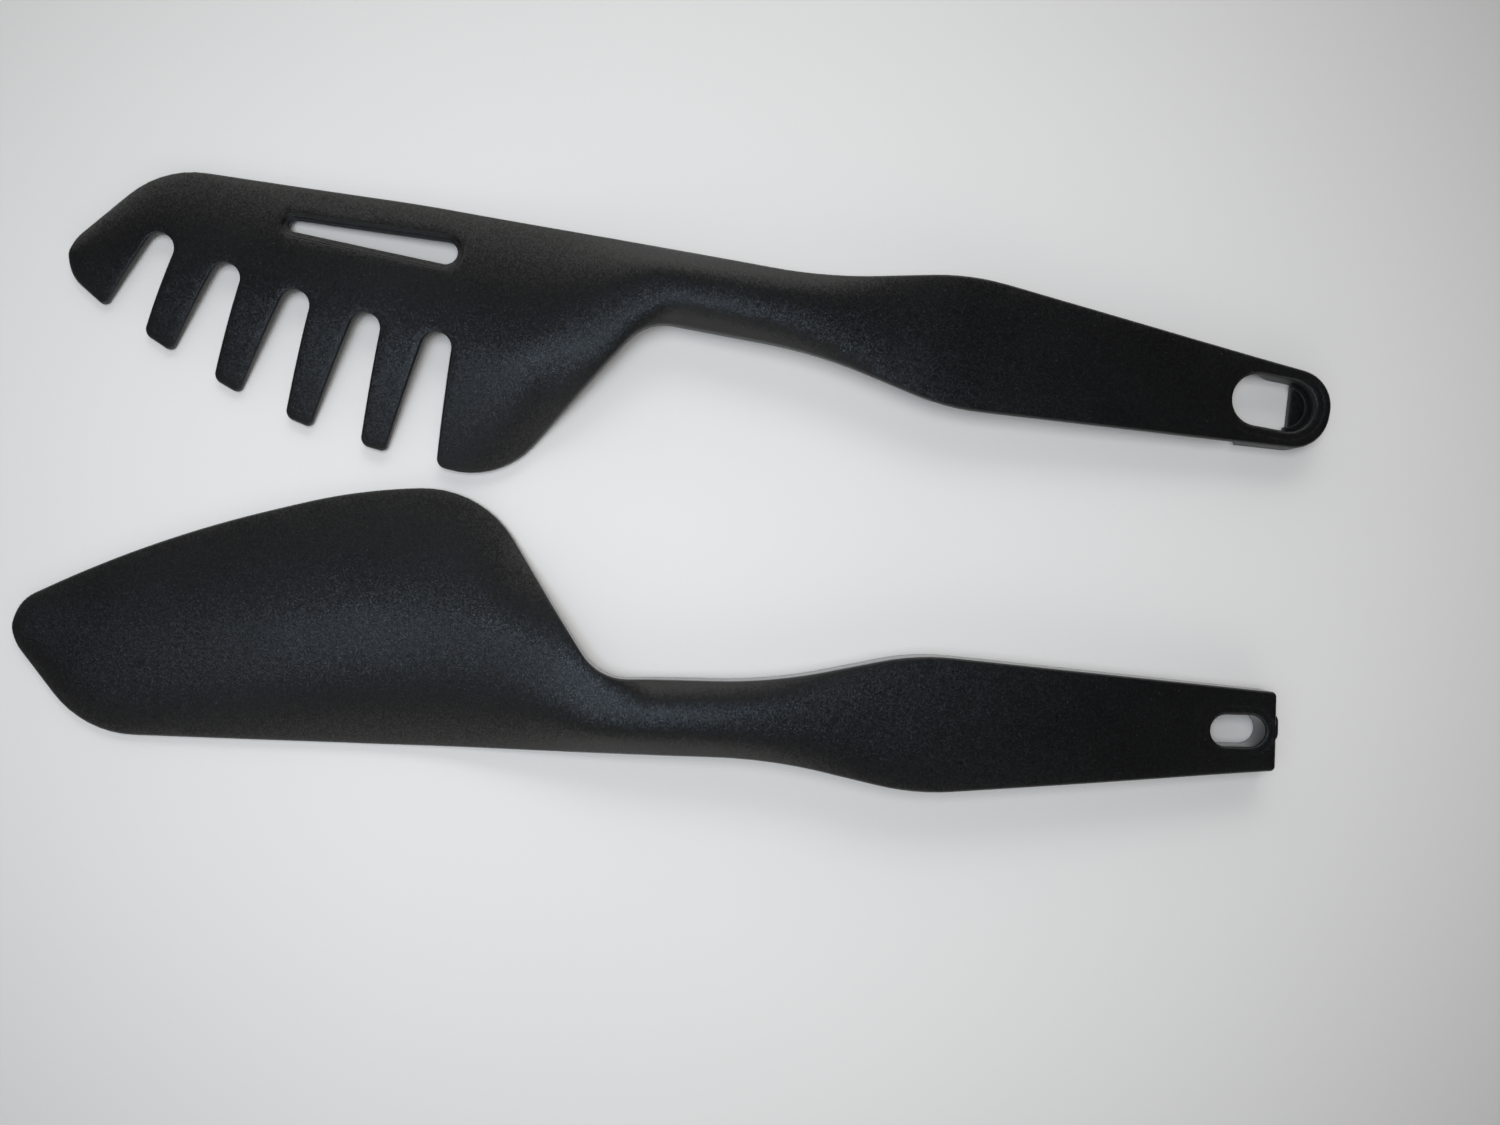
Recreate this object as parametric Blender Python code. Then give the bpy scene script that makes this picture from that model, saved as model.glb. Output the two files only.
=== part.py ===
"""Two-piece kitchen tongs: a pasta fork and a spatula, each one nylon moulding.

Each piece works on its own, and their tails clip together to make tongs. Here they lie side
by side, outer faces up. A piece is drawn in its own frame, in millimetres: x runs along the
handle, 0 at the tail and negative toward the blade; y runs across it; z is the height above
the surface that it lies on. Each is then placed by its location and rotation, in metres.
"""
import math

import bpy
from mathutils import Vector
from mathutils.geometry import delaunay_2d_cdt

MM = 0.001

# Handle plan: straight flanks from the tail to the widest place, then hollow flanks to the neck.
FORK_TAIL_HALF_WIDTH = 8.8
SPATULA_TAIL_HALF_WIDTH = 9.4
FORK_FLANK = ((-82.2, 16.2, 60.0), (-115.8, 8.9, 120.0))
SPATULA_FLANK = ((-86.0, 16.6, 60.0), (-120.5, 9.1, 125.0))
FORK_TAIL_END = 9.1
FORK_TAIL_RADIUS = 8.7
FORK_TAIL_OFFSET = -0.3
SPATULA_TAIL_END = 0.3
SPATULA_TAIL_CORNER = 1.2

# Lengthwise heights in mm: (x, height of the crown line), (x, height of the top's edge),
# (x, thickness).
FORK_CROWN = ((10, 8.0), (-10, 8.2), (-50, 10.4), (-90, 12.8), (-130, 14.6), (-165, 12.8),
              (-205, 8.6), (-245, 6.2), (-280, 4.2), (-298, 2.6))
FORK_EDGE = ((10, 7.9), (-10, 8.1), (-50, 10.2), (-90, 12.0), (-130, 11.2), (-165, 8.0),
             (-205, 3.6), (-245, 2.0), (-280, 1.8), (-298, 1.7))
FORK_THICKNESS = ((10, 2.8), (-50, 2.8), (-95, 3.0), (-130, 6.2), (-160, 4.6), (-190, 3.2),
                  (-245, 2.5), (-298, 2.2))
SPATULA_CROWN = ((3, 9.8), (-10, 10.0), (-50, 12.4), (-90, 13.8), (-130, 14.8), (-160, 13.4),
                 (-205, 8.6), (-250, 6.0), (-285, 3.8), (-307, 2.0))
SPATULA_EDGE = ((3, 9.7), (-10, 9.9), (-50, 12.2), (-90, 13.0), (-130, 12.0), (-160, 9.4),
                (-205, 2.8), (-250, 2.0), (-285, 1.7), (-307, 1.5))
SPATULA_THICKNESS = ((3, 10.0), (-10, 10.4), (-50, 12.8), (-90, 12.2), (-130, 9.8), (-152, 8.2),
                     (-172, 4.0), (-205, 2.6), (-250, 2.2), (-307, 1.6))
LOBE_EDGE = 3.2
LOBE_REACH = (12.0, 50.0)
LOBE_HALF_WIDTH = 26.0
LOBE_STATIONS = (-148.0, -175.0, -215.0)
CROWN_POWERS = (2.6, 1.6)
EDGE_THINNING = 0.3

# Hollow underside: the spatula's handle and neck are a channel with deep walls along the edge;
# the fork's handle is a plate on a narrower spine, which ends in a full-depth tail block.
TOP_PLATE = 2.4
CHANNEL_WALL = 2.0
SPINE_INSET = 4.0
SPINE_WALL = 1.8
SPINE_DEPTH = ((-10, 8.0), (-60, 7.8), (-112, 6.4))
SPINE_ENDS = (-10.0, -112.0)
TAIL_BLOCK_START = -11.0
TAIL_BLOCK_PROUD = 0.06
RIB = 1.8
POCKET_CORNER_RADIUS = 2.0
POCKET_STEP = 8.0
FORK_POCKETS = (-15.2, -34.0, -53.0, -72.0, -91.0, -108.0)
SPATULA_POCKETS = (-20.5, -46.0, -71.0, -96.0, -121.0, -152.0)
THROAT_END = -5.0
RAMP_LENGTH = 4.5

# Pasta fork: blade, tine gaps, drain slot and hanging hole.
FORK_BACK = ((-215.0, 9.65, 400.0), (-279.7, 7.2, 24.5), (-302.5, -20.0, 8.5))
FORK_FRONT = ((-185.0, -53.5, 20.5), (-155.6, -8.6, 13.0))
FORK_FRINGE = ((-286.2, -29.8, 60.0), (-240.0, -48.9, 150.0))
GAPS = ((-275.9, -12.95, 18.1), (-258.5, -17.2, 13.1), (-240.5, -20.6, 10.4),
        (-222.5, -22.9, 7.4), (-204.5, -24.4, 4.8))
GAP_ROOT_RADIUS = 3.7
GAP_HALF_TAPER = 5.7
TINE_TIP_RADII = (2.3, 1.6)
DRAIN_ENDS = ((-244.6, -1.45, 1.45), (-206.9, -1.35, 2.8))
DRAIN_RIM = 2.2
DRAIN_RIM_DEPTH = 0.7
HOLE_RADIUS = 6.2
HOLE_ENDS = (-14.7, 5.3)
HOLE_OFFSET = 0.2
LEDGE_EDGE = (1.5, 0.5, 6.5)
LEDGE_ROOT = (6.6, 6.0)
LEDGE_LEVELS = (0.2, 2.6)

# Spatula: blade, hanging slot and clip nose.
SPATULA_BACK = ((-161.6, 9.0, 13.0), (-192.2, 54.2, 26.0), (-221.7, 53.0, 135.0),
                (-270.9, 40.2, 290.0), (-311.1, 20.9, 9.3))
SPATULA_FRONT = ((-287.8, -8.1, 26.0), (-215.0, -9.0, 400.0))
SLOT_RADIUS = 3.8
SLOT_ENDS = (-15.4, -2.1)
NOSE_HALF_WIDTH = 3.8
NOSE_REACH = 2.4
NOSE_CORNER = 2.4
NOSE_ROOT = 1.2
NOSE_OFFSET = 0.5
NOSE_LEVELS = (1.0, 5.2)

# Levels that a cutter reaches clear below and above every solid.
BELOW = -1.0
ABOVE = 20.0

# Mesh fineness.
ARC_STEP = math.radians(15)
ARC_LENGTH = 6.0
GRID = 6.0
EDGE_CLEARANCE = 1.8

# Where the two tails lie on the table, and how the handles are turned about the vertical.
FORK_PLACE = (0.1302, 0.0373)
FORK_TURN = math.radians(-10.78)
SPATULA_PLACE = (0.1251, -0.0404)
SPATULA_TURN = math.radians(-1.36)


def rounded(corners):
    """A closed outline through the corners (x, y, radius), each rounded by an arc."""
    points = []
    for i, (x, y, radius) in enumerate(corners):
        here = Vector((x, y))
        before = (Vector(corners[i - 1][:2]) - here).normalized()
        after = (Vector(corners[(i + 1) % len(corners)][:2]) - here).normalized()
        half_angle = before.angle(after) / 2
        if radius == 0 or half_angle > math.radians(89.9):
            points.append(here)
            continue
        centre = here + (before + after).normalized() * (radius / math.sin(half_angle))
        start = here + before * (radius / math.tan(half_angle)) - centre
        turn = start.angle_signed(here + after * (radius / math.tan(half_angle)) - centre)
        steps = max(2, math.ceil(abs(turn) / ARC_STEP), math.ceil(abs(turn) * radius / ARC_LENGTH))
        for k in range(steps + 1):
            angle = -turn * k / steps
            points.append(centre + Vector((start.x * math.cos(angle) - start.y * math.sin(angle),
                                           start.x * math.sin(angle) + start.y * math.cos(angle))))
    return without_repeats(points)


def without_repeats(points, tolerance=0.02):
    """The outline without points that fall on the one before them."""
    return [p for i, p in enumerate(points) if (p - points[i - 1]).length > tolerance]


def capsule(first, last):
    """Outline around two discs (x, y, radius): a slot with round ends."""
    (x0, y0, r0), (x1, y1, r1) = first, last
    steps = round(math.pi / ARC_STEP)
    start = [Vector((x0 - r0 * math.sin(a), y0 + r0 * math.cos(a)))
             for a in (math.pi * k / steps for k in range(steps + 1))]
    end = [Vector((x1 + r1 * math.sin(a), y1 - r1 * math.cos(a)))
           for a in (math.pi * k / steps for k in range(steps + 1))]
    return start + end


def curve_through(stations):
    """A smooth function of x through the stations, which run toward negative x."""
    xs = [s[0] for s in stations]
    zs = [s[1] for s in stations]
    last = len(xs) - 1
    slopes = [(zs[min(i + 1, last)] - zs[max(i - 1, 0)]) / (xs[min(i + 1, last)] - xs[max(i - 1, 0)])
              for i in range(last + 1)]

    def height(x):
        i = 0
        while i < last - 1 and x < xs[i + 1]:
            i += 1
        width = xs[i + 1] - xs[i]
        t = min(1.0, max(0.0, (x - xs[i]) / width))
        ends = zs[i] * (1 + 2 * t) * (1 - t) ** 2 + zs[i + 1] * t * t * (3 - 2 * t)
        return ends + width * (slopes[i] * t * (1 - t) ** 2 - slopes[i + 1] * t * t * (1 - t))
    return height


def span(outline, x):
    """Lowest and highest y of the outline at x, or of its nearest end."""
    x = min(max(x, min(p.x for p in outline) + 0.2), max(p.x for p in outline) - 0.2)
    crossings = []
    for i, b in enumerate(outline):
        a = outline[i - 1]
        if (a.x - x) * (b.x - x) <= 0 and a.x != b.x:
            crossings.append(a.y + (b.y - a.y) * (x - a.x) / (b.x - a.x))
    return min(crossings), max(crossings)


def off_crown(outline, x, y):
    """How far (x, y) is from the middle of the outline, 0, to its nearest side, 1."""
    low, high = span(outline, x)
    return min(1.0, abs(2 * y - low - high) / (high - low))


def smooth_step(value):
    """0 below 0, 1 above 1 and a smooth rise between."""
    t = min(1.0, max(0.0, value))
    return t * t * (3 - 2 * t)


def crowned(outline, crown, edge, lobe):
    """Height of the top: the crown line runs midway between the outline's two sides.

    A side that reaches far from the handle's axis, as the blade's lobe does, lies low. On the
    lobe's side (1 high, -1 low) the neck flares into the blade with a gentle slope.
    """
    crown_height = curve_through(crown)
    edge_height = curve_through(edge)
    near, far = LOBE_REACH

    def top(x, y):
        low, high = span(outline, x)
        side = high if 2 * y > low + high else low
        lowered = smooth_step((abs(side) - near) / (far - near))
        side_height = edge_height(x) + (min(LOBE_EDGE, edge_height(x)) - edge_height(x)) * lowered
        plain_power, lobe_power = CROWN_POWERS
        power = plain_power + (lobe_power - plain_power) * lowered
        half = (high - low) / 2
        if lobe * (2 * y - low - high) > 0 and half < LOBE_HALF_WIDTH:
            neck, spread, full = LOBE_STATIONS
            grown = smooth_step((neck - x) / (neck - spread)) * smooth_step((x - full) / (spread - full))
            half = math.sqrt(half ** 2 + grown * (LOBE_HALF_WIDTH ** 2 - half ** 2))
        fall = min(1.0, abs(y - (low + high) / 2) / half) ** power
        return crown_height(x) + (side_height - crown_height(x)) * fall
    return top


def under(top, outline, stations, thinning):
    """Height of the underside, the thickness below the top, thinner toward the sides."""
    thickness = curve_through(stations)

    def bottom(x, y):
        side = off_crown(outline, x, y) ** 2
        return max(0.0, top(x, y) - thickness(x) * (1 - thinning * side))
    return bottom


def inside(outline, x, y):
    """Whether (x, y) is inside the outline."""
    odd = False
    for i, b in enumerate(outline):
        a = outline[i - 1]
        if (a.y > y) != (b.y > y) and x < a.x + (b.x - a.x) * (y - a.y) / (b.y - a.y):
            odd = not odd
    return odd


def edge_distance(outline, point):
    """Distance in mm from the point to the nearest side of the outline."""
    nearest = math.inf
    for i, b in enumerate(outline):
        side = b - outline[i - 1]
        along = min(1.0, max(0.0, (point - outline[i - 1]).dot(side) / side.length_squared))
        nearest = min(nearest, (point - outline[i - 1] - side * along).length)
    return nearest


def grid_inside(outline):
    """Points of a square grid that lie well inside the outline."""
    x0, x1 = min(p.x for p in outline), max(p.x for p in outline)
    y0, y1 = min(p.y for p in outline), max(p.y for p in outline)
    points = []
    for i in range(math.ceil((x1 - x0) / GRID)):
        for j in range(math.ceil((y1 - y0) / GRID)):
            point = Vector((x0 + (i + 0.5) * GRID, y0 + (j + 0.5) * GRID))
            if inside(outline, *point) and edge_distance(outline, point) > EDGE_CLEARANCE:
                points.append(point)
    return points


def slab(name, outline, bottom, top):
    """A closed solid on the outline, between two surfaces given as functions of x and y."""
    if sum(a.cross(b) for a, b in zip(outline, outline[1:] + outline[:1])) < 0:
        outline = outline[::-1]
    count = len(outline)
    flat, _, faces, *_ = delaunay_2d_cdt(outline + grid_inside(outline), [],
                                         [list(range(count))], 1, 1e-4)
    size = len(flat)
    vertices = [(p.x * MM, p.y * MM, top(*p) * MM) for p in flat]
    vertices += [(p.x * MM, p.y * MM, bottom(*p) * MM) for p in flat]
    polygons = [tuple(face) for face in faces]
    polygons += [tuple(v + size for v in reversed(face)) for face in faces]
    for i in range(count):
        after = (i + 1) % count
        polygons.append((i, i + size, after + size, after))
    mesh = bpy.data.meshes.new(name)
    mesh.from_pydata(vertices, [], polygons)
    mesh.validate()
    solid = bpy.data.objects.new(name, mesh)
    bpy.context.collection.objects.link(solid)
    return solid


def combine(solid, tool, operation):
    """Add a Boolean with the tool, which stays as a hidden wire guide under the solid."""
    tool.parent = solid
    tool.hide_render = True
    tool.display_type = "WIRE"
    modifier = solid.modifiers.new(tool.name, "BOOLEAN")
    modifier.operation = operation
    modifier.solver = "EXACT"
    modifier.object = tool


def cut(solid, cutter):
    """Subtract the cutter from the solid."""
    combine(solid, cutter, "DIFFERENCE")


def join(solid, addition):
    """Unite the addition with the solid."""
    combine(solid, addition, "UNION")


def flank(corners, side):
    """Corners of one flank of the handle, from the tail to the neck."""
    return [(x, side * y, radius) for x, y, radius in corners]


def gap_corners(fringe, index):
    """Corners of one tine gap: in at its left mouth, around the root, out at its right."""
    x, y, degrees = GAPS[index]
    centre = Vector((x, y))
    lean = math.radians(degrees)
    taper = math.radians(GAP_HALF_TAPER)
    down = Vector((-math.sin(lean), -math.cos(lean)))
    corners = []
    for side in (-1, 1):
        wall = Vector((-math.sin(lean - side * taper), -math.cos(lean - side * taper)))
        outward = Vector((-wall.y, wall.x)) * side
        touch = centre + outward * GAP_ROOT_RADIUS
        up = (GAP_ROOT_RADIUS + (touch - centre).dot(down)) / wall.dot(down)
        root = touch - wall * up
        length = 0.0
        while inside(fringe, *(touch + wall * length)):
            length += 0.1
        corners.append((root, touch + wall * length))
    (left_root, left_mouth), (right_root, right_mouth) = corners
    left_tip, right_tip = TINE_TIP_RADII
    return [(*left_mouth, right_tip), (*left_root, GAP_ROOT_RADIUS),
            (*right_root, GAP_ROOT_RADIUS), (*right_mouth, left_tip)]


def strip(outline, right, left, inset):
    """Outline of the handle between two stations, inset from its flanks."""
    steps = math.ceil((right - left) / POCKET_STEP)
    xs = [right + (left - right) * k / steps for k in range(steps + 1)]
    radii = [POCKET_CORNER_RADIUS] + [0] * (steps - 1) + [POCKET_CORNER_RADIUS]
    upper = [(x, span(outline, x)[1] - inset, r) for x, r in zip(xs, radii)]
    lower = [(x, span(outline, x)[0] + inset, r) for x, r in zip(xs, radii)]
    return rounded(upper + lower[::-1])


def pockets(name, solid, outline, top, stations, inset):
    """Hollow the handle from below, with a rib between each two pockets."""
    for number, (start, end) in enumerate(zip(stations, stations[1:])):
        plan = strip(outline, start - RIB / 2, end + RIB / 2, inset)
        cut(solid, slab(f"{name}_pocket_{number + 1}", plan, lambda x, y: BELOW,
                        lambda x, y: top(x, y) - TOP_PLATE))


def nylon(name, colour, roughness):
    """Black moulded nylon."""
    material = bpy.data.materials.new(name)
    material.use_nodes = True
    shader = material.node_tree.nodes["Principled BSDF"]
    shader.inputs["Base Color"].default_value = (*colour, 1.0)
    shader.inputs["Roughness"].default_value = roughness
    shader.inputs["Metallic"].default_value = 0.0
    return material


def pasta_fork():
    """The fork: tines along one side of the blade, a drain slot and a hanging hole."""
    back = flank(FORK_FLANK, 1) + list(FORK_BACK)
    front = list(FORK_FRONT) + flank(FORK_FLANK, -1)[::-1]
    tail = [(FORK_TAIL_END, FORK_TAIL_OFFSET + side * FORK_TAIL_HALF_WIDTH, FORK_TAIL_RADIUS)
            for side in (-1, 1)]
    plain = rounded(back + list(FORK_FRINGE) + front + tail)
    gaps = [corner for i in range(len(GAPS)) for corner in gap_corners(plain, i)]
    top = crowned(plain, FORK_CROWN, FORK_EDGE, -1)
    fork = slab("pasta_fork", rounded(back + gaps + front + tail),
                under(top, plain, FORK_THICKNESS, EDGE_THINNING), top)
    add_spine(fork, plain, top)
    add_tail_block(fork, plain, top, tail)
    cut_hanging_hole(fork)
    cut_drain_slot(fork, top)
    return fork


def add_spine(fork, plain, top):
    """The hollow spine under the handle's plate."""
    depth = curve_through(SPINE_DEPTH)
    start, end = SPINE_ENDS
    join(fork, slab("fork_spine", strip(plain, start, end, SPINE_INSET),
                    lambda x, y: max(0.0, top(x, y) - depth(x)),
                    lambda x, y: top(x, y) - TOP_PLATE / 2))
    pockets("fork", fork, plain, top, FORK_POCKETS, SPINE_INSET + SPINE_WALL)


def add_tail_block(fork, plain, top, tail):
    """The full-depth block around the tail, open toward the handle behind a sloped end."""
    low, high = span(plain, TAIL_BLOCK_START)
    proud = [(x + TAIL_BLOCK_PROUD, y + math.copysign(TAIL_BLOCK_PROUD, y), radius)
             for x, y, radius in tail]
    outline = rounded([(TAIL_BLOCK_START, high + TAIL_BLOCK_PROUD, 0),
                       (TAIL_BLOCK_START, low - TAIL_BLOCK_PROUD, 0), *proud])
    join(fork, slab("fork_tail_block", outline, lambda x, y: 0.0,
                    lambda x, y: top(x, y) - TOP_PLATE / 2))

    def ceiling(x, y):
        full = top(x, y) - TOP_PLATE
        return min(full, full * (THROAT_END - x) / RAMP_LENGTH + BELOW / 2)

    throat = strip(plain, THROAT_END, FORK_POCKETS[0] - RIB / 2, CHANNEL_WALL)
    cut(fork, slab("fork_throat", throat, lambda x, y: BELOW, ceiling))


def cut_hanging_hole(fork):
    """The hanging hole, with the ledge that the spatula's nose catches."""
    start, end = HOLE_ENDS
    hole = capsule((start + HOLE_RADIUS, HOLE_OFFSET, HOLE_RADIUS),
                   (end - HOLE_RADIUS, HOLE_OFFSET, HOLE_RADIUS))
    cut(fork, slab("fork_hole", hole, lambda x, y: BELOW, lambda x, y: ABOVE))
    right_x, left_x, edge_y = LEDGE_EDGE
    root_x, root_y = LEDGE_ROOT
    low, high = LEDGE_LEVELS
    ledge = rounded([(right_x, -edge_y, 0), (root_x, -root_y, 0), (root_x, root_y, 0),
                     (left_x, edge_y, 0)])
    join(fork, slab("fork_ledge", ledge, lambda x, y: low, lambda x, y: high))


def cut_drain_slot(fork, top):
    """The tapered drain slot and the shallow rim around it."""
    first, last = DRAIN_ENDS
    cut(fork, slab("fork_drain_slot", capsule(first, last), lambda x, y: BELOW,
                   lambda x, y: ABOVE))
    wide = capsule((*first[:2], first[2] + DRAIN_RIM), (*last[:2], last[2] + DRAIN_RIM))
    cut(fork, slab("fork_drain_rim", wide, lambda x, y: top(x, y) - DRAIN_RIM_DEPTH,
                   lambda x, y: ABOVE))


def spatula():
    """The spatula: a wide plain blade, a hanging slot and the nose that clips the two."""
    back = flank(SPATULA_FLANK, 1) + list(SPATULA_BACK)
    front = list(SPATULA_FRONT) + flank(SPATULA_FLANK, -1)[::-1]
    tail = [(SPATULA_TAIL_END, side * SPATULA_TAIL_HALF_WIDTH, SPATULA_TAIL_CORNER)
            for side in (-1, 1)]
    outline = rounded(back + front + tail)
    top = crowned(outline, SPATULA_CROWN, SPATULA_EDGE, 1)
    blade = slab("spatula", outline, under(top, outline, SPATULA_THICKNESS, 0.0), top)
    pockets("spatula", blade, outline, top, SPATULA_POCKETS, CHANNEL_WALL)
    start, end = SLOT_ENDS
    slot = capsule((start + SLOT_RADIUS, 0, SLOT_RADIUS), (end - SLOT_RADIUS, 0, SLOT_RADIUS))
    cut(blade, slab("spatula_slot", slot, lambda x, y: BELOW, lambda x, y: ABOVE))
    add_nose(blade)
    return blade


def add_nose(blade):
    """The rounded nose on the end face, joined by a Boolean union."""
    root = SPATULA_TAIL_END - NOSE_ROOT
    tip = SPATULA_TAIL_END + NOSE_REACH
    right, left = NOSE_OFFSET - NOSE_HALF_WIDTH, NOSE_OFFSET + NOSE_HALF_WIDTH
    low, high = NOSE_LEVELS
    outline = rounded([(root, right, 0), (tip, right, NOSE_CORNER), (tip, left, NOSE_CORNER),
                       (root, left, 0)])
    join(blade, slab("spatula_nose", outline, lambda x, y: low, lambda x, y: high))


def place(solid, location, turn):
    """Stand the piece at its place, turned about the vertical."""
    solid.location = (*location, 0.0)
    solid.rotation_euler = (0.0, 0.0, turn)


def centre_on_origin(solids):
    """Shift all pieces together, so that the origin is under the middle of the pair."""
    bpy.context.view_layer.update()
    corners = [s.matrix_world @ v.co for s in solids for v in s.data.vertices]
    middle = Vector((max(c.x for c in corners) + min(c.x for c in corners),
                     max(c.y for c in corners) + min(c.y for c in corners), 0)) / 2
    for solid in solids:
        solid.location -= middle


def main():
    for old in list(bpy.data.objects):
        bpy.data.objects.remove(old)
    fork = pasta_fork()
    fork.data.materials.append(nylon("fork_nylon", (0.012, 0.012, 0.013), 0.42))
    blade = spatula()
    blade.data.materials.append(nylon("spatula_nylon", (0.013, 0.013, 0.014), 0.42))
    place(fork, FORK_PLACE, FORK_TURN)
    place(blade, SPATULA_PLACE, SPATULA_TURN)
    centre_on_origin([fork, blade])


main()
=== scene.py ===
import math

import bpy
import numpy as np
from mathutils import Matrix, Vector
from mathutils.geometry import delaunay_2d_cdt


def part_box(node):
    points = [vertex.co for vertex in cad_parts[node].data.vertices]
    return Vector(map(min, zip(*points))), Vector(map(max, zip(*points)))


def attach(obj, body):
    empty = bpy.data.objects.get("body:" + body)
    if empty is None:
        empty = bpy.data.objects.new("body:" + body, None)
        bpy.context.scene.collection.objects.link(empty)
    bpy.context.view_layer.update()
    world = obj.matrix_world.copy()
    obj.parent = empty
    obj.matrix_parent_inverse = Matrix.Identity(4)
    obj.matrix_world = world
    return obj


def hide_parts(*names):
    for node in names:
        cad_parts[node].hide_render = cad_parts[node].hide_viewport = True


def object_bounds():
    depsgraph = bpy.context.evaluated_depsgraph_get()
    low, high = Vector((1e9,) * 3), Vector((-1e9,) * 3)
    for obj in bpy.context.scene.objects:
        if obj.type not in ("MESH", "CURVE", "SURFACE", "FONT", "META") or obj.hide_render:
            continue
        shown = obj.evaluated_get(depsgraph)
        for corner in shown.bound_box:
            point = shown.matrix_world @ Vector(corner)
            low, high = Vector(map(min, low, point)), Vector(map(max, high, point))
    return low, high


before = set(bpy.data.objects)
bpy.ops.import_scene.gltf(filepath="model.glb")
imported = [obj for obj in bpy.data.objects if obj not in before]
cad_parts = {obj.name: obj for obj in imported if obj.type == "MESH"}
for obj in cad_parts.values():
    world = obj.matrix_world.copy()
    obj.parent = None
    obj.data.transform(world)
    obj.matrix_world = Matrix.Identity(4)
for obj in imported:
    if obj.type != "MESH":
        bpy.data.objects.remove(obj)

# Looks of the two-piece kitchen tongs: a pasta fork and a spatula in black nylon, each a fine
# mesh around the same outline and heights as its CAD solid, on a pale table under soft light.
# A moulding is drawn in its own frame, in millimetres: x runs along the handle, 0 at the tail
# and negative toward the blade, y across it and z up. It is then turned and set in the CAD
# solid's box.

CAD_LOW, CAD_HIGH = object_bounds()
MM = 0.001

# Handle plan: (x, half width, radius) where each flank changes direction.
FORK_TAIL_HALF_WIDTH = 8.8
SPATULA_TAIL_HALF_WIDTH = 9.4
FORK_FLANK = ((-82.2, 16.2, 60.0), (-115.8, 8.9, 120.0))
SPATULA_FLANK = ((-86.0, 16.6, 60.0), (-120.5, 9.1, 125.0))
FORK_TAIL_END = 9.1
FORK_TAIL_RADIUS = 8.7
FORK_TAIL_OFFSET = -0.3
SPATULA_TAIL_END = 0.3
SPATULA_TAIL_CORNER = 1.2

# Lengthwise heights: (x, crown line), (x, top's edge) and (x, thickness).
FORK_CROWN = ((10, 8.0), (-10, 8.2), (-50, 10.4), (-90, 12.8), (-130, 14.6), (-165, 12.8),
              (-205, 8.6), (-245, 6.2), (-280, 4.2), (-298, 2.6))
FORK_EDGE = ((10, 7.9), (-10, 8.1), (-50, 10.2), (-90, 12.0), (-130, 11.2), (-165, 8.0),
             (-205, 3.6), (-245, 2.0), (-280, 1.8), (-298, 1.7))
FORK_THICKNESS = ((10, 2.8), (-50, 2.8), (-95, 3.0), (-130, 6.2), (-160, 4.6), (-190, 3.2),
                  (-245, 2.5), (-298, 2.2))
SPATULA_CROWN = ((3, 9.8), (-10, 10.0), (-50, 12.4), (-90, 13.8), (-130, 14.8), (-160, 13.4),
                 (-205, 8.6), (-250, 6.0), (-285, 3.8), (-307, 2.0))
SPATULA_EDGE = ((3, 9.7), (-10, 9.9), (-50, 12.2), (-90, 13.0), (-130, 12.0), (-160, 9.4),
                (-205, 2.8), (-250, 2.0), (-285, 1.7), (-307, 1.5))
SPATULA_THICKNESS = ((3, 10.0), (-10, 10.4), (-50, 12.8), (-90, 12.2), (-130, 9.8), (-152, 8.2),
                     (-172, 4.0), (-205, 2.6), (-250, 2.2), (-307, 1.6))
LOBE_EDGE = 3.2
LOBE_REACH = (12.0, 50.0)
LOBE_HALF_WIDTH = 26.0
LOBE_STATIONS = (-148.0, -175.0, -215.0)
CROWN_POWERS = (2.6, 1.6)
EDGE_THINNING = 0.3

# Underside: ribs and pockets, the fork's rails and its tail block.
TOP_PLATE = 2.4
CHANNEL_WALL = 2.0
SPINE_INSET = 4.0
SPINE_WALL = 1.8
SPINE_DEPTH = ((-10, 8.0), (-60, 7.8), (-112, 6.4))
SPINE_END = -112.0
TAIL_BLOCK_START = -11.0
RIB = 1.8
POCKET_CORNER_RADIUS = 2.0
FORK_RIBS = (-15.2, -34.0, -53.0, -72.0, -91.0, -108.0)
SPATULA_RIBS = (-20.5, -46.0, -71.0, -96.0, -121.0, -152.0)
THROAT = (-9.5, -5.0)
STEP_WIDTH = 0.3

# Mesh points placed along the tail block's steps, and how the rails are divided and set in.
STEP_MARGIN = 0.05
STEP_FLANK_MARGIN = 0.4
STEP_SPACING_ACROSS = 0.8
STEP_START_MARGIN = 0.6
STEP_SPACING_ALONG = 0.7
RAIL_STEP = 4.0
RAIL_OVERLAP = 0.6
END_RIB_CORNER = 0.8

# Pasta fork: blade, tine gaps, drain slot and hanging hole.
FORK_BACK = ((-215.0, 9.65, 400.0), (-279.7, 7.2, 24.5), (-302.5, -20.0, 8.5))
FORK_FRONT = ((-185.0, -53.5, 20.5), (-155.6, -8.6, 13.0))
FORK_FRINGE = ((-286.2, -29.8, 60.0), (-240.0, -48.9, 150.0))
GAPS = ((-275.9, -12.95, 18.1), (-258.5, -17.2, 13.1), (-240.5, -20.6, 10.4),
        (-222.5, -22.9, 7.4), (-204.5, -24.4, 4.8))
GAP_ROOT_RADIUS = 3.7
GAP_HALF_TAPER = 5.7
GAP_SEARCH_STEPS = 600
GAP_STEPS_PER_MM = 10
TINE_TIP_RADII = (2.3, 1.6)
DRAIN_ENDS = ((-244.6, -1.45, 1.45), (-206.9, -1.35, 2.8))
DRAIN_RIM = ((1.75, 0.0), (1.62, 0.04), (1.5, 0.16), (1.34, 0.42), (1.17, 0.6), (0.95, 0.68),
             (0.45, 0.74), (0.22, 0.82), (0.06, 1.0), (0.0, 1.3))
HOLE_RADIUS = 6.2
HOLE_ENDS = (-14.7, 5.3)
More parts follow.
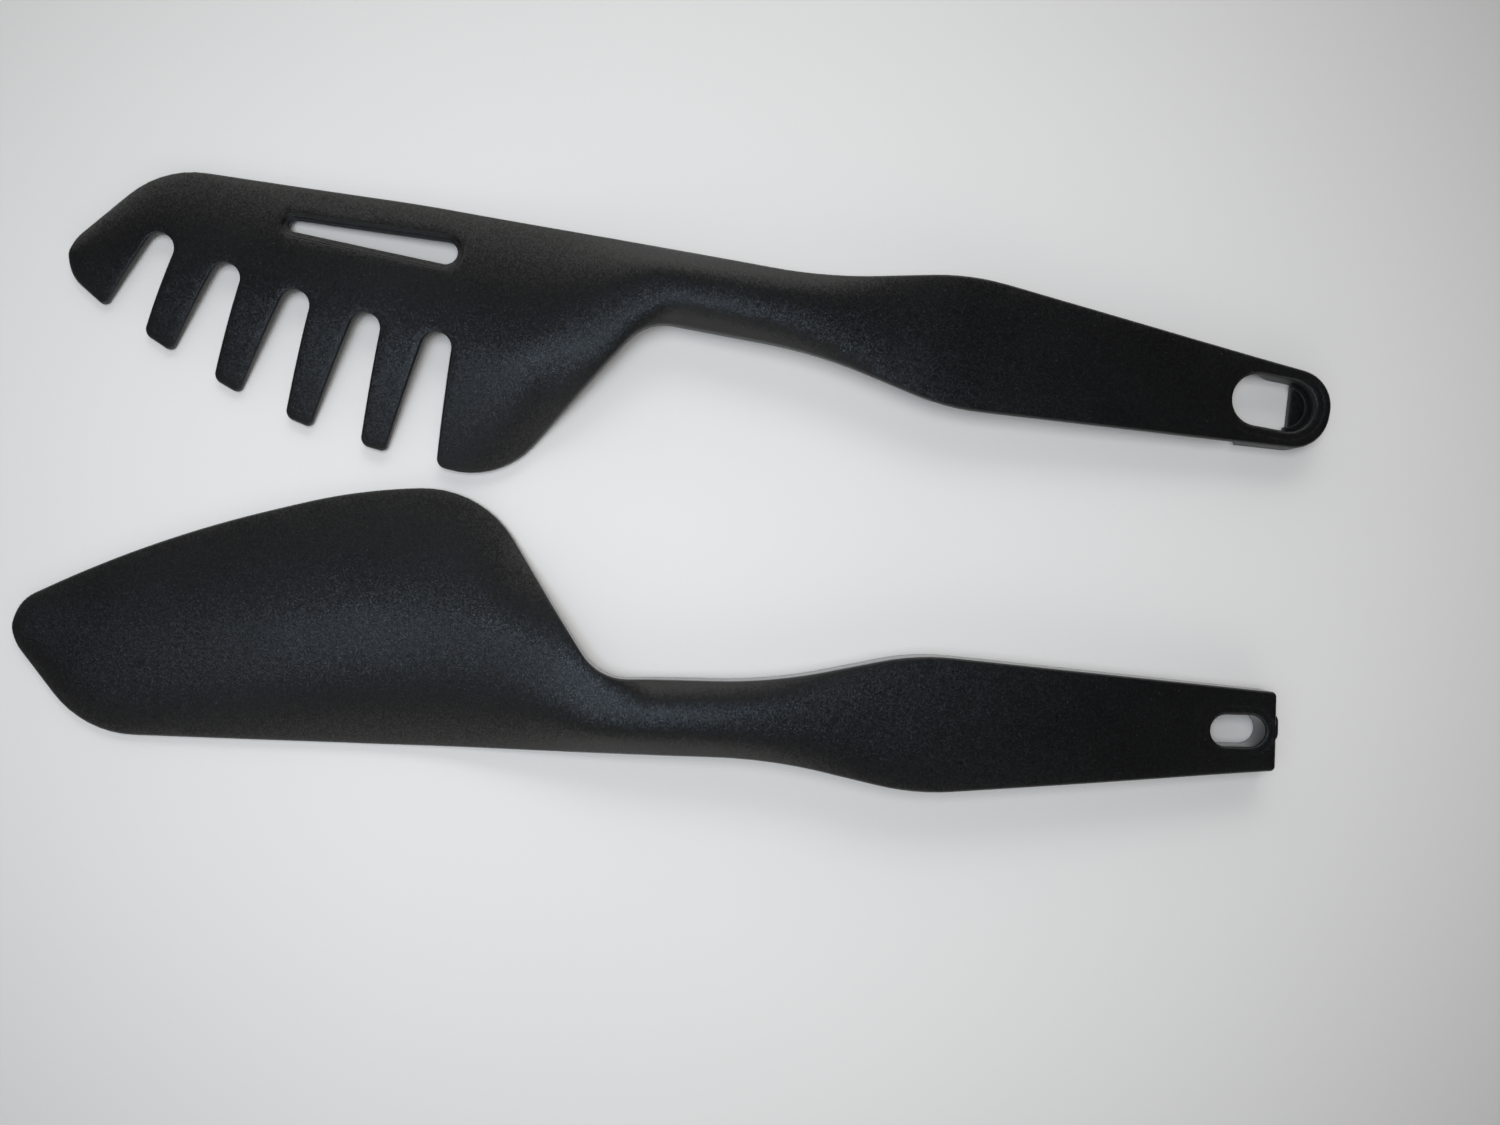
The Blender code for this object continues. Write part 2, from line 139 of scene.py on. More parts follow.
HOLE_OFFSET = 0.2
HOLE_RIM = ((2.6, 0.0), (2.3, 0.03), (2.0, 0.1), (1.7, 0.11), (1.2, 0.1), (0.8, 0.12),
            (0.4, 0.2), (0.12, 0.4), (0.0, 0.75))
LEDGE = ((1.5, -6.5), (6.6, -6.0), (6.6, 6.0), (0.5, 6.5))
LEDGE_LEVELS = (0.2, 2.6)
SEAT_RADII = (6.6, 4.9)
SEAT_LEVELS = (2.2, 4.4)
SEAT_DEGREES = range(-80, 81, 5)

# Spatula: blade, hanging slot and clip nose.
SPATULA_BACK = ((-161.6, 9.0, 13.0), (-192.2, 54.2, 26.0), (-221.7, 53.0, 135.0),
                (-270.9, 40.2, 290.0), (-311.1, 20.9, 9.3))
SPATULA_FRONT = ((-287.8, -8.1, 26.0), (-215.0, -9.0, 400.0))
SLOT_RADIUS = 3.8
SLOT_ENDS = (-15.4, -2.1)
SLOT_RIM = ((2.4, 0.0), (2.1, 0.03), (1.8, 0.09), (1.5, 0.1), (1.0, 0.09), (0.7, 0.11),
            (0.35, 0.2), (0.1, 0.38), (0.0, 0.7))
NOSE = ((-1.2, -3.3), (2.4, -3.3), (2.4, 4.3), (-1.2, 4.3))
NOSE_CORNER = 2.4
NOSE_LEVELS = (1.0, 5.2)

# Rounding of the moulded edges, and mesh fineness.
UPPER_ROUND = 0.55
LOWER_ROUND = 0.35
SMALL_ROUND = 0.3
POCKET_ROUND = 0.7
ROUND_STEPS = 4
ARC_STEP = math.radians(7.5)
ARC_LENGTH = 3.0
LONGEST_SIDE = 1.6
SPACING = 2.0

# Steps of the tables and strips made from an outline, and limits in joining the mesh.
PLAN_STEP = 0.25
PLAN_END_GAP = 0.2
STRIP_STEP = 8.0
STRAIGHT = math.radians(89.9)
MERGE_LENGTH = 0.02
STEP_CLEARANCE = 0.25
WELD = 1e-5
SHARP_ANGLE = math.radians(38)

FORK_TURN = math.radians(-10.78)
SPATULA_TURN = math.radians(-1.36)

# The room's brightness by how far a direction leans aside, from straight up (0) to level (1).
# Leaning toward -X or +X counts only in part, and the far side, +Y, is a little brighter.
ROOM_LEVELS = ((0.0, 0.014), (0.28, 0.024), (0.4, 0.075), (0.5, 0.145), (0.62, 0.26), (0.8, 0.75),
               (1.0, 1.0))
ROOM_LEFT = 0.5
ROOM_RIGHT = 0.33
ROOM_FAR_SIDE = 0.1
ROOM_STRENGTH = 1.1
ROOM_TINT = (1.0, 0.99, 0.965)

# Lights: place, aim, size (metres), power (watts) and colour.
DAYLIGHT = (0.985, 0.985, 1.0)
CEILING = {"location": (0.0, 0.05, 1.0), "aim": (0.0, 0.0, 0.0), "size": (0.5, 0.5),
           "power": 4.7, "colour": DAYLIGHT}
SIDE = {"location": (0.2, 1.2, 1.0), "aim": (0.0, 0.0, 0.0), "size": (0.8, 0.5),
        "power": 3.6, "colour": DAYLIGHT}
WINDOW = {"location": (-0.15, -0.04, 0.55), "aim": (-0.05, 0.0, 0.0), "size": (0.22, 0.46),
          "power": 0.42, "colour": (0.7, 0.83, 1.0)}
GLINT = {"location": (-0.11, -0.04, 0.62), "aim": (-0.04, -0.02, 0.0), "size": (0.05, 0.05),
         "power": 0.16, "colour": (0.64, 0.82, 1.0)}

# Black nylon. Scales are per metre, and a pair gives a range.
FORK_BLACK = (0.0030, 0.0030, 0.0032)
SPATULA_BLACK = (0.0031, 0.0031, 0.0033)
FORK_SIDE_ROUGHNESS = 0.5
SPATULA_SIDE_ROUGHNESS = 0.14
FACE_ROUGHNESS = 0.35
FACE_LEVELS = (0.15, 0.6)
EDGE_POINTINESS = (0.52, 0.62)
EDGE_POLISH = 0.07
# The edge share, gain and haze below paint a highlight on the edges: pointy edges get a lighter
# colour.
EDGE_HIGHLIGHT_SHARE = 0.25
EDGE_HIGHLIGHT_GAIN = 4
EDGE_HIGHLIGHT_HAZE = 0.005
GLINT_SCALE = 3300.0
GLINT_TILT = 0.2
GRAIN_SCALE = 2600.0
COARSE_GRAIN_SCALE = 900.0
COARSE_GRAIN_SHARE = 0.5
GRAIN_DEPTH = 0.00012
GRAIN_STRENGTHS = (0.04, 0.22)
HANDLING_SCALE = 38.0
HANDLING = 0.035
FINE_SCALE = 1500.0
FINE = 0.05
DUST_SCALE = 1900.0
DUST_LEVELS = (0.76, 0.8)
DUST_SHARE = 0.3
DUST_COLOUR = (0.16, 0.17, 0.19)
CLOUD_SCALE = 60.0
CLOUD_LEVELS = (0.35, 0.7)
CLOUD_SHARE = 0.35
CLOUD_GAIN = 1.5
CLOUD_HAZE = 0.001
NOISE_LEVELS = (0.3, 0.7)
NYLON_IOR = 1.53
NYLON_SPECULAR = 0.53

# Table: half its side, how far it lies below the part, its two pale tones, the darker tone it fades
# to further out, the middle and reach of that fade, which paint a pool of light on it, and its
# patches and grain. Lengths in metres.
TABLE_HALF = 2.5
TABLE_GAP = 0.00002
TABLE_TONES = ((0.916, 0.905, 0.885), (0.934, 0.921, 0.90))
# The outer tone, middle and reach paint a pool of light: the table is paler in the middle and
# darker further out.
TABLE_PAINTED_SHADE_TONE = (0.505, 0.498, 0.487)
TABLE_PAINTED_LIGHT_MIDDLE = (-0.01, -0.025, 0.0)
TABLE_PAINTED_LIGHT_REACH = 0.26
TABLE_PATCH_SCALE = 9.0
TABLE_GRAIN_SCALE = 400.0
TABLE_ROUGHNESS = (0.5, 0.62)

# Camera: offset from the pair's middle, height and width of its field on the table, in metres,
# and sensor width in millimetres.
CAMERA_OFFSET = Vector((0.0204, -0.0204))
CAMERA_HEIGHT = 0.370
FIELD_WIDTH = 0.3675
SENSOR = 36.0


def rounded(corners):
    """A closed outline through the corners (x, y, radius), each rounded by an arc."""
    points = []
    for i, (x, y, radius) in enumerate(corners):
        here = Vector((x, y))
        before = (Vector(corners[i - 1][:2]) - here).normalized()
        after = (Vector(corners[(i + 1) % len(corners)][:2]) - here).normalized()
        half_angle = before.angle(after) / 2
        if radius == 0 or half_angle > STRAIGHT:
            points.append(here)
            continue
        centre = here + (before + after).normalized() * (radius / math.sin(half_angle))
        start = here + before * (radius / math.tan(half_angle)) - centre
        turn = start.angle_signed(here + after * (radius / math.tan(half_angle)) - centre)
        steps = max(2, math.ceil(abs(turn) / ARC_STEP), math.ceil(abs(turn) * radius / ARC_LENGTH))
        for k in range(steps + 1):
            angle = -turn * k / steps
            points.append(centre + Vector((start.x * math.cos(angle) - start.y * math.sin(angle),
                                           start.x * math.sin(angle) + start.y * math.cos(angle))))
    return [p for i, p in enumerate(points) if (p - points[i - 1]).length > MERGE_LENGTH]


def capsule(first, last):
    """Outline around two discs (x, y, radius): a slot with round ends."""
    (x0, y0, r0), (x1, y1, r1) = first, last
    steps = round(math.pi / ARC_STEP)
    turns = [math.pi * k / steps for k in range(steps + 1)]
    start = [Vector((x0 - r0 * math.sin(a), y0 + r0 * math.cos(a))) for a in turns]
    end = [Vector((x1 + r1 * math.sin(a), y1 - r1 * math.cos(a))) for a in turns]
    return start + end


def curve_through(stations):
    """A smooth function of x through the stations, which run toward negative x."""
    xs = [s[0] for s in stations]
    zs = [s[1] for s in stations]
    last = len(xs) - 1
    spans = [(max(i - 1, 0), min(i + 1, last)) for i in range(last + 1)]
    slopes = [(zs[after] - zs[before]) / (xs[after] - xs[before]) for before, after in spans]

    def height(x):
        i = 0
        while i < last - 1 and x < xs[i + 1]:
            i += 1
        width = xs[i + 1] - xs[i]
        t = min(1.0, max(0.0, (x - xs[i]) / width))
        ends = zs[i] * (1 + 2 * t) * (1 - t) ** 2 + zs[i + 1] * t * t * (3 - 2 * t)
        return ends + width * (slopes[i] * t * (1 - t) ** 2 - slopes[i + 1] * t * t * (1 - t))
    return height


def smooth_step(value):
    """0 below 0, 1 above 1 and a smooth rise between."""
    t = min(1.0, max(0.0, value))
    return t * t * (3 - 2 * t)


class Plan:
    """An outline with its two sides, the low and the high one, as functions of x."""

    def __init__(self, outline):
        self.outline = outline
        xs = [p.x for p in outline]
        self.stations = np.arange(min(xs) + PLAN_STEP, max(xs) - PLAN_END_GAP, PLAN_STEP)
        sides = [self.crossings(x) for x in self.stations]
        self.low_side = np.array([low for low, _ in sides])
        self.high_side = np.array([high for _, high in sides])

    def crossings(self, x):
        found = []
        for i, b in enumerate(self.outline):
            a = self.outline[i - 1]
            if (a.x - x) * (b.x - x) <= 0 and a.x != b.x:
                found.append(a.y + (b.y - a.y) * (x - a.x) / (b.x - a.x))
        return min(found), max(found)

    def span(self, x):
        """Lowest and highest y at x, or at the nearest end."""
        return (float(np.interp(x, self.stations, self.low_side)),
                float(np.interp(x, self.stations, self.high_side)))

    def strip(self, right, left, inset, radius=POCKET_CORNER_RADIUS):
        """Outline of the handle between two stations, inset from its flanks."""
        steps = max(1, math.ceil((right - left) / STRIP_STEP))
        xs = [right + (left - right) * k / steps for k in range(steps + 1)]
        radii = [radius] + [0] * (steps - 1) + [radius]
        upper = [(x, self.span(x)[1] - inset, r) for x, r in zip(xs, radii)]
        lower = [(x, self.span(x)[0] + inset, r) for x, r in zip(xs, radii)]
        return rounded(upper + lower[::-1])


def crowned(plan, crown, edge, lobe):
    """Height of the top: the crown line runs midway between the plan's two sides, and a side
    that reaches far from the handle's axis, as the blade's lobe does, lies low. On the lobe's
    side (1 high, -1 low) the neck flares into the blade with a gentle slope."""
    crown_height = curve_through(crown)
    edge_height = curve_through(edge)
    near, far = LOBE_REACH

    def top(x, y):
        low, high = plan.span(x)
        side = high if 2 * y > low + high else low
        lowered = smooth_step((abs(side) - near) / (far - near))
        side_height = edge_height(x) + (min(LOBE_EDGE, edge_height(x)) - edge_height(x)) * lowered
        plain_power, lobe_power = CROWN_POWERS
        power = plain_power + (lobe_power - plain_power) * lowered
        half = (high - low) / 2
        if lobe * (2 * y - low - high) > 0 and half < LOBE_HALF_WIDTH:
            neck, spread, full = LOBE_STATIONS
            opened = smooth_step((neck - x) / (neck - spread))
            grown = opened * smooth_step((x - full) / (spread - full))
            half = math.sqrt(half ** 2 + grown * (LOBE_HALF_WIDTH ** 2 - half ** 2))
        fall = min(1.0, abs(y - (low + high) / 2) / half) ** power
        return crown_height(x) + (side_height - crown_height(x)) * fall
    return top


def under(top, plan, stations, thinning):
    """Height of the underside, the thickness below the top, thinner toward the sides."""
    thickness = curve_through(stations)

    def bottom(x, y):
        low, high = plan.span(x)
        side = min(1.0, abs(2 * y - low - high) / (high - low)) ** 2
        return max(0.0, top(x, y) - thickness(x) * (1 - thinning * side))
    return bottom


def turned(loop, way):
    """The loop with sides no longer than the limit, running counterclockwise (1) or back (-1)."""
    area = sum(a.cross(b) for a, b in zip(loop, loop[1:] + loop[:1]))
    ordered = loop if area * way > 0 else loop[::-1]
    points = []
    for i, b in enumerate(ordered):
        a = ordered[i - 1]
        pieces = max(1, math.ceil((b - a).length / LONGEST_SIDE))
        points += [a + (b - a) * k / pieces for k in range(pieces)]
    return np.array([tuple(p) for p in points])


def moved_in(loop, inset):
    """The loop moved to its left, into the solid."""
    sides = np.roll(loop, -1, 0) - loop
    sides /= np.linalg.norm(sides, axis=1)[:, None]
    lefts = np.stack([-sides[:, 1], sides[:, 0]], 1)
    middle = lefts + np.roll(lefts, 1, 0)
    return loop + inset * 2 * middle / (middle ** 2).sum(1)[:, None]


def covers(loop, points):
    """Which of the points lie inside the loop."""
    a, b = loop, np.roll(loop, -1, 0)
    x, y = points[:, :1], points[:, 1:]
    crosses = (a[:, 1] > y) != (b[:, 1] > y)
    rise = np.where(a[:, 1] == b[:, 1], 1.0, b[:, 1] - a[:, 1])
    return (crosses & (x < a[:, 0] + (b[:, 0] - a[:, 0]) * (y - a[:, 1]) / rise)).sum(1) % 2 == 1


def clearance(loop, points):
    """Distance from each point to the loop."""
    a = loop[None]
    side = np.roll(loop, -1, 0)[None] - a
    offset = points[:, None] - a
    along = np.clip((offset * side).sum(2) / (side ** 2).sum(2), 0, 1)
    return np.sqrt(((offset - side * along[..., None]) ** 2).sum(2)).min(1)


class Shell:
    """Points and faces of one moulding, made of walls, which are rings around a loop, and of
    caps, which close the top and the underside between the rings."""

    def __init__(self):
        self.points = []
        self.faces = []

    def wall(self, loop, profile):
        """Rings (inset, height) around the loop, from the top down; returns first and last."""
        rings = []
        for inset, height in profile:
            first = len(self.points)
            self.points += [(x, y, height(x, y)) for x, y in moved_in(loop, inset)]
            rings.append(list(range(first, len(self.points))))
        for upper, lower in zip(rings, rings[1:]):
            for i in range(len(upper)):
                after = (i + 1) % len(upper)
                self.faces.append((upper[i], lower[i], lower[after], upper[after]))
        return rings[0], rings[-1]

    def cap(self, rings, height, facing, extra=()):
        """Triangles inside the first ring and outside the others, at the given height."""
        loops = [np.array([self.points[i][:2] for i in ring]) for ring in rings]
        low, high = loops[0].min(0), loops[0].max(0)
        row = SPACING * math.sqrt(3) / 2
        grid = [(low[0] + (i + j % 2 / 2) * SPACING, low[1] + j * row)
                for j in range(math.ceil((high[1] - low[1]) / row))
                for i in range(math.ceil((high[0] - low[0]) / SPACING))]
        grid = self.free(np.array(grid).reshape(-1, 2), loops, SPACING / 2)
        if len(extra):
            near = np.array(extra)
            distance = np.sqrt(((grid[:, None] - near[None]) ** 2).sum(2)).min(1)
            clear = self.free(near, loops, STEP_CLEARANCE)
            grid = np.concatenate([grid[distance > SPACING / 3], clear])
        known = [i for ring in rings for i in ring]
        flat = [Vector(self.points[i][:2]) for i in known] + [Vector(p) for p in grid.tolist()]
        borders, first = [], 0
        for ring in rings:
            borders.append(list(range(first, first + len(ring))))
            first += len(ring)
        placed, _, triangles, origins, *_ = delaunay_2d_cdt(flat, [], borders, 1, WELD)
        names = []
        for point, origin in zip(placed, origins):
            if origin and origin[0] < len(known):
                names.append(known[origin[0]])
            else:
                names.append(len(self.points))
                self.points.append((point.x, point.y, height(point.x, point.y)))
        middles = np.array([sum((placed[v] for v in t), Vector((0, 0))) / 3 for t in triangles])
        kept = ~np.any([covers(loop, middles) for loop in loops[1:]], axis=0) if loops[1:] else \
            np.ones(len(triangles), bool)
        for triangle, keep in zip(triangles, kept):
            if keep:
                face = [names[v] for v in triangle]
                self.faces.append(tuple(face if facing > 0 else face[::-1]))

    @staticmethod
    def free(points, loops, gap):
        """The points inside the first loop, outside the others and clear of all."""
        good = covers(loops[0], points)
        for loop in loops[1:]:
            good &= ~covers(loop, points)
        for loop in loops:
            good[good] &= clearance(loop, points[good]) > gap
        return points[good]

    def moulding(self, outline, top, bottom, holes=(), pockets=(), ceiling=None,
                 rounds=(UPPER_ROUND, LOWER_ROUND), extra=()):
        """A solid on the outline with rounded edges, through holes (loop, rim) and pockets."""
        upper, lower = self.wall(turned(outline, 1), edges(top, bottom, *rounds))
        uppers, lowers = [upper], [lower]
        for loop, rim in holes:
            upper, lower = self.wall(turned(loop, -1), rimmed(rim, top, bottom))
            uppers.append(upper)
            lowers.append(lower)
        for loop in pockets:
            upper, lower = self.wall(turned(loop, -1), hollow(ceiling, bottom))
            self.cap([upper], ceiling, -1)
            lowers.append(lower)
        self.cap(uppers, top, 1)
        self.cap(lowers, bottom, -1, extra)

    def block(self, outline, top, bottom, rounding=SMALL_ROUND):
        """A small solid with rounded edges, which reaches into the moulding it belongs to."""
        self.moulding(outline, top, bottom, rounds=(rounding, rounding))

    def build(self, name, node, body, turn, material):
        """The finished piece, turned and centred in its CAD node's box."""
        mesh = bpy.data.meshes.new(name)
        mesh.from_pydata([Vector(p) * MM for p in self.points], [], self.faces)
        mesh.transform(Matrix.Rotation(turn, 4, "Z"))
        low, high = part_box(node)
        places = np.array([v.co for v in mesh.vertices])
        middle = (places.min(0) + places.max(0)) / 2
        shift = (low + high) / 2 - Vector(middle)
        mesh.transform(Matrix.Translation((shift.x, shift.y, low.z - places[:, 2].min())))
        mesh.validate()
        mesh.shade_smooth()
        mesh.set_sharp_from_angle(angle=SHARP_ANGLE)
        mesh.materials.append(material)
        piece = bpy.data.objects.new(name, mesh)
        bpy.context.scene.collection.objects.link(piece)
        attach(piece, body)
        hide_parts(node)
        return piece


def above(height, offset):
    """The height function moved by the offset."""
    return lambda x, y: height(x, y) + offset


def edges(top, bottom, upper, lower):
    """Profile of an outer wall with its two edges rounded."""
    turns = [math.pi / 2 * k / ROUND_STEPS for k in range(ROUND_STEPS + 1)]
    profile = [(upper * (1 - math.sin(a)), above(top, upper * (math.cos(a) - 1))) for a in turns]
    return profile + [(lower * (1 - math.cos(a)), above(bottom, lower * (1 - math.sin(a))))
                      for a in turns]


def rimmed(rim, top, bottom):
    """Profile of a hole's wall: the rim's steps down from the top, then the wall."""
    turns = [math.pi / 2 * k / ROUND_STEPS for k in range(ROUND_STEPS + 1)]
    profile = [(inset, above(top, -depth)) for inset, depth in rim]
    return profile + [(LOWER_ROUND * (1 - math.cos(a)),
                       above(bottom, LOWER_ROUND * (1 - math.sin(a)))) for a in turns]


def hollow(ceiling, bottom):
    """Profile of a pocket's wall, from the rounded corner at its ceiling to its mouth."""
    turns = [math.pi / 2 * k / ROUND_STEPS for k in range(ROUND_STEPS + 1)]
    profile = [(-POCKET_ROUND * (1 - math.sin(a)), above(ceiling, POCKET_ROUND * (math.cos(a) - 1)))
               for a in turns]
    return profile + [(SMALL_ROUND * (1 - math.cos(a)),
                       above(bottom, SMALL_ROUND * (1 - math.sin(a)))) for a in turns]


def flank(corners, side):
    """Corners of one flank of the handle, from the tail to the neck."""
    return [(x, side * y, radius) for x, y, radius in corners]


def gap_corners(fringe, index):
    """Corners of one tine gap: in at its left mouth, around the root, out at its right."""
    x, y, degrees = GAPS[index]
    centre = Vector((x, y))
    lean = math.radians(degrees)
    taper = math.radians(GAP_HALF_TAPER)
    down = Vector((-math.sin(lean), -math.cos(lean)))
    border = np.array([tuple(p) for p in fringe])
    corners = []
    for side in (-1, 1):
        wall = Vector((-math.sin(lean - side * taper), -math.cos(lean - side * taper)))
        outward = Vector((-wall.y, wall.x)) * side
        touch = centre + outward * GAP_ROOT_RADIUS
        up = (GAP_ROOT_RADIUS + (touch - centre).dot(down)) / wall.dot(down)
        steps = np.array([tuple(touch + wall * (k / GAP_STEPS_PER_MM))
                          for k in range(GAP_SEARCH_STEPS)])
        length = np.argmin(covers(border, steps)) / GAP_STEPS_PER_MM
        corners.append((touch - wall * up, touch + wall * length))
    (left_root, left_mouth), (right_root, right_mouth) = corners
    left_tip, right_tip = TINE_TIP_RADII
    return [(*left_mouth, right_tip), (*left_root, GAP_ROOT_RADIUS),
            (*right_root, GAP_ROOT_RADIUS), (*right_mouth, left_tip)]


def pasta_fork(material):
    """The fork: tines along one side of the blade, a drain slot and a hanging hole."""
    back = flank(FORK_FLANK, 1) + list(FORK_BACK)
    front = list(FORK_FRONT) + flank(FORK_FLANK, -1)[::-1]
    tail = [(FORK_TAIL_END, FORK_TAIL_OFFSET + side * FORK_TAIL_HALF_WIDTH, FORK_TAIL_RADIUS)
            for side in (-1, 1)]
    plain = rounded(back + list(FORK_FRINGE) + front + tail)
    gaps = [corner for i in range(len(GAPS)) for corner in gap_corners(plain, i)]
    plan = Plan(plain)
    top = crowned(plan, FORK_CROWN, FORK_EDGE, -1)
    plate = under(top, plan, FORK_THICKNESS, EDGE_THINNING)
    bottom, steps = tail_block(plan, plate)
    start, end = HOLE_ENDS
    hole = capsule((start + HOLE_RADIUS, HOLE_OFFSET, HOLE_RADIUS),
                   (end - HOLE_RADIUS, HOLE_OFFSET, HOLE_RADIUS))
    fork = Shell()
    fork.moulding(rounded(back + gaps + front + tail), top, bottom,
                  holes=[(hole, HOLE_RIM), (capsule(*DRAIN_ENDS), DRAIN_RIM)],
                  extra=steps)
    add_spine(fork, plan, top, plate)
    low, high = LEDGE_LEVELS
    fork.block([Vector(p) for p in LEDGE], lambda x, y: high, lambda x, y: low)
    add_seat(fork, end - HOLE_RADIUS)
    return fork.build("pasta_fork_moulding", "pasta_fork", "pasta_fork", FORK_TURN,
                      material)


def tail_block(plan, plate):
    """Underside with the full-depth tail block: two cheeks and a slope behind the hole. Returns
    its height and the points where it steps."""
    ramp_start, ramp_end = THROAT

    def bottom(x, y):
        low, high = plan.span(x)
        block = smooth_step((x - TAIL_BLOCK_START) / STEP_WIDTH)
        cheek = 1 - smooth_step((min(y - low, high - y) - CHANNEL_WALL) / STEP_WIDTH)
        slope = min(1.0, max(0.0, (x - ramp_start) / (ramp_end - ramp_start)))
        return plate(x, y) * (1 - block * max(cheek, slope))

    steps = []
    low, high = plan.span(TAIL_BLOCK_START)
    across = np.arange(low + STEP_FLANK_MARGIN, high - STEP_FLANK_MARGIN, STEP_SPACING_ACROSS)
    for x in (TAIL_BLOCK_START - STEP_MARGIN, TAIL_BLOCK_START + STEP_WIDTH + STEP_MARGIN,
              ramp_start, ramp_end):
        steps += [(x, y) for y in across]
    for x in np.arange(TAIL_BLOCK_START + STEP_START_MARGIN, ramp_end, STEP_SPACING_ALONG):
        low, high = plan.span(x)
        for inset in (CHANNEL_WALL, CHANNEL_WALL + STEP_WIDTH):
            steps += [(x, low + inset), (x, high - inset)]
    return bottom, steps


def add_spine(fork, plan, top, plate):
    """Two rails under the handle's plate, with ribs between them."""
    depth = curve_through(SPINE_DEPTH)
    start = FORK_RIBS[0] - RIB / 2

    def floor(x, y):
        return max(0.0, top(x, y) - depth(x))

    steps = math.ceil((start - SPINE_END) / RAIL_STEP)
    xs = [start + (SPINE_END - start) * k / steps for k in range(steps + 1)]
    for side in (0, 1):
        sign = 1 - 2 * side
        outer = [Vector((x, plan.span(x)[side] + sign * SPINE_INSET)) for x in xs]
        inner = [Vector((x, plan.span(x)[side] + sign * (SPINE_INSET + SPINE_WALL))) for x in xs]
        fork.block(outer + inner[::-1], above(plate, RAIL_OVERLAP), floor)
    for x in FORK_RIBS[1:]:
        low, high = plan.span(x)
        reach = SPINE_INSET + SPINE_WALL / 2
        rib = [(x - RIB / 2, low + reach), (x + RIB / 2, low + reach),
               (x + RIB / 2, high - reach), (x - RIB / 2, high - reach)]
        fork.block([Vector(p) for p in rib], above(plate, RAIL_OVERLAP), floor)
    end = plan.strip(FORK_RIBS[-1], SPINE_END, SPINE_INSET, END_RIB_CORNER)
    fork.block(end, above(plate, RAIL_OVERLAP), floor)


def add_seat(fork, centre):
    """The step around the hole's far end, above the ledge."""
    outer, inner = SEAT_RADII
    low, high = SEAT_LEVELS
    turns = [math.radians(a) for a in SEAT_DEGREES]
    far = [Vector((centre + outer * math.cos(a), HOLE_OFFSET + outer * math.sin(a))) for a in turns]
    near = [Vector((centre + inner * math.cos(a), HOLE_OFFSET + inner * math.sin(a)))
            for a in turns[::-1]]
    fork.block(far + near, lambda x, y: high, lambda x, y: low)


def spatula(material):
    """The spatula: a wide plain blade, a hanging slot and the nose that clips the two."""
    back = flank(SPATULA_FLANK, 1) + list(SPATULA_BACK)
    front = list(SPATULA_FRONT) + flank(SPATULA_FLANK, -1)[::-1]
    tail = [(SPATULA_TAIL_END, side * SPATULA_TAIL_HALF_WIDTH, SPATULA_TAIL_CORNER)
            for side in (-1, 1)]
    outline = rounded(back + front + tail)
    plan = Plan(outline)
    top = crowned(plan, SPATULA_CROWN, SPATULA_EDGE, 1)
    bottom = under(top, plan, SPATULA_THICKNESS, 0.0)
    start, end = SLOT_ENDS
    slot = capsule((start + SLOT_RADIUS, 0, SLOT_RADIUS), (end - SLOT_RADIUS, 0, SLOT_RADIUS))
    pockets = [plan.strip(right - RIB / 2, left + RIB / 2, CHANNEL_WALL)
               for right, left in zip(SPATULA_RIBS, SPATULA_RIBS[1:])]
    blade = Shell()
    blade.moulding(outline, top, bottom, holes=[(slot, SLOT_RIM)], pockets=pockets,
                   ceiling=above(top, -TOP_PLATE))
    low, high = NOSE_LEVELS
    blade.block(rounded([(x, y, NOSE_CORNER if x > 0 else 0) for x, y in NOSE]),
                lambda x, y: high, lambda x, y: low)
    return blade.build("spatula_moulding", "spatula", "spatula", SPATULA_TURN,
                       material)


class Nodes:
    """Short names for building a node tree."""

    def __init__(self, tree):
        self.tree = tree

    def add(self, kind, **settings):
        node = self.tree.nodes.new(kind)
        for key, value in settings.items():
            setattr(node, key, value)
        return node

    def link(self, source, target):
        self.tree.links.new(source, target)

    def noise(self, coordinates, scale, detail, roughness=0.5):
        node = self.add("ShaderNodeTexNoise")
        node.inputs["Scale"].default_value = scale
        node.inputs["Detail"].default_value = detail
        node.inputs["Roughness"].default_value = roughness
        self.link(coordinates, node.inputs["Vector"])
        return node.outputs["Fac"]

    def cells(self, coordinates, scale):
        node = self.add("ShaderNodeTexVoronoi")
        node.inputs["Scale"].default_value = scale
        self.link(coordinates, node.inputs["Vector"])
        return node.outputs["Color"]

    def spread(self, value, low, high, to_low, to_high):
        node = self.add("ShaderNodeMapRange")
        node.inputs["From Min"].default_value = low
        node.inputs["From Max"].default_value = high
        node.inputs["To Min"].default_value = to_low
        node.inputs["To Max"].default_value = to_high
        self.link(value, node.inputs["Value"])
        return node.outputs["Result"]

    def maths(self, operation, first, second):
        node = self.add("ShaderNodeMath", operation=operation)
        for socket, value in zip(node.inputs, (first, second)):
            if isinstance(value, (int, float)):
                socket.default_value = value
            else:
                self.link(value, socket)
        return node.outputs["Value"]

    def vectors(self, operation, first, second):
        node = self.add("ShaderNodeVectorMath", operation=operation)
        for socket, value in zip(node.inputs, (first, second)):
            if isinstance(value, tuple):
                socket.default_value = value
            else:
                self.link(value, socket)
        return node.outputs["Vector"]

    def scaled(self, vector, factor):
        node = self.add("ShaderNodeVectorMath", operation="SCALE")
        self.link(vector, node.inputs["Vector"])
        if isinstance(factor, (int, float)):
            node.inputs["Scale"].default_value = factor
        else:
            self.link(factor, node.inputs["Scale"])
        return node.outputs["Vector"]

    def blend(self, factor, first, second):
        node = self.add("ShaderNodeMix", data_type="RGBA")
        self.link(factor, node.inputs["Factor"])
        for name, value in (("A", first), ("B", second)):
            socket = [s for s in node.inputs if s.name == name and s.type == "RGBA"][0]
            if isinstance(value, tuple):
                socket.default_value = (*value, 1.0)
            else:
                self.link(value, socket)
        return [s for s in node.outputs if s.type == "RGBA"][0]


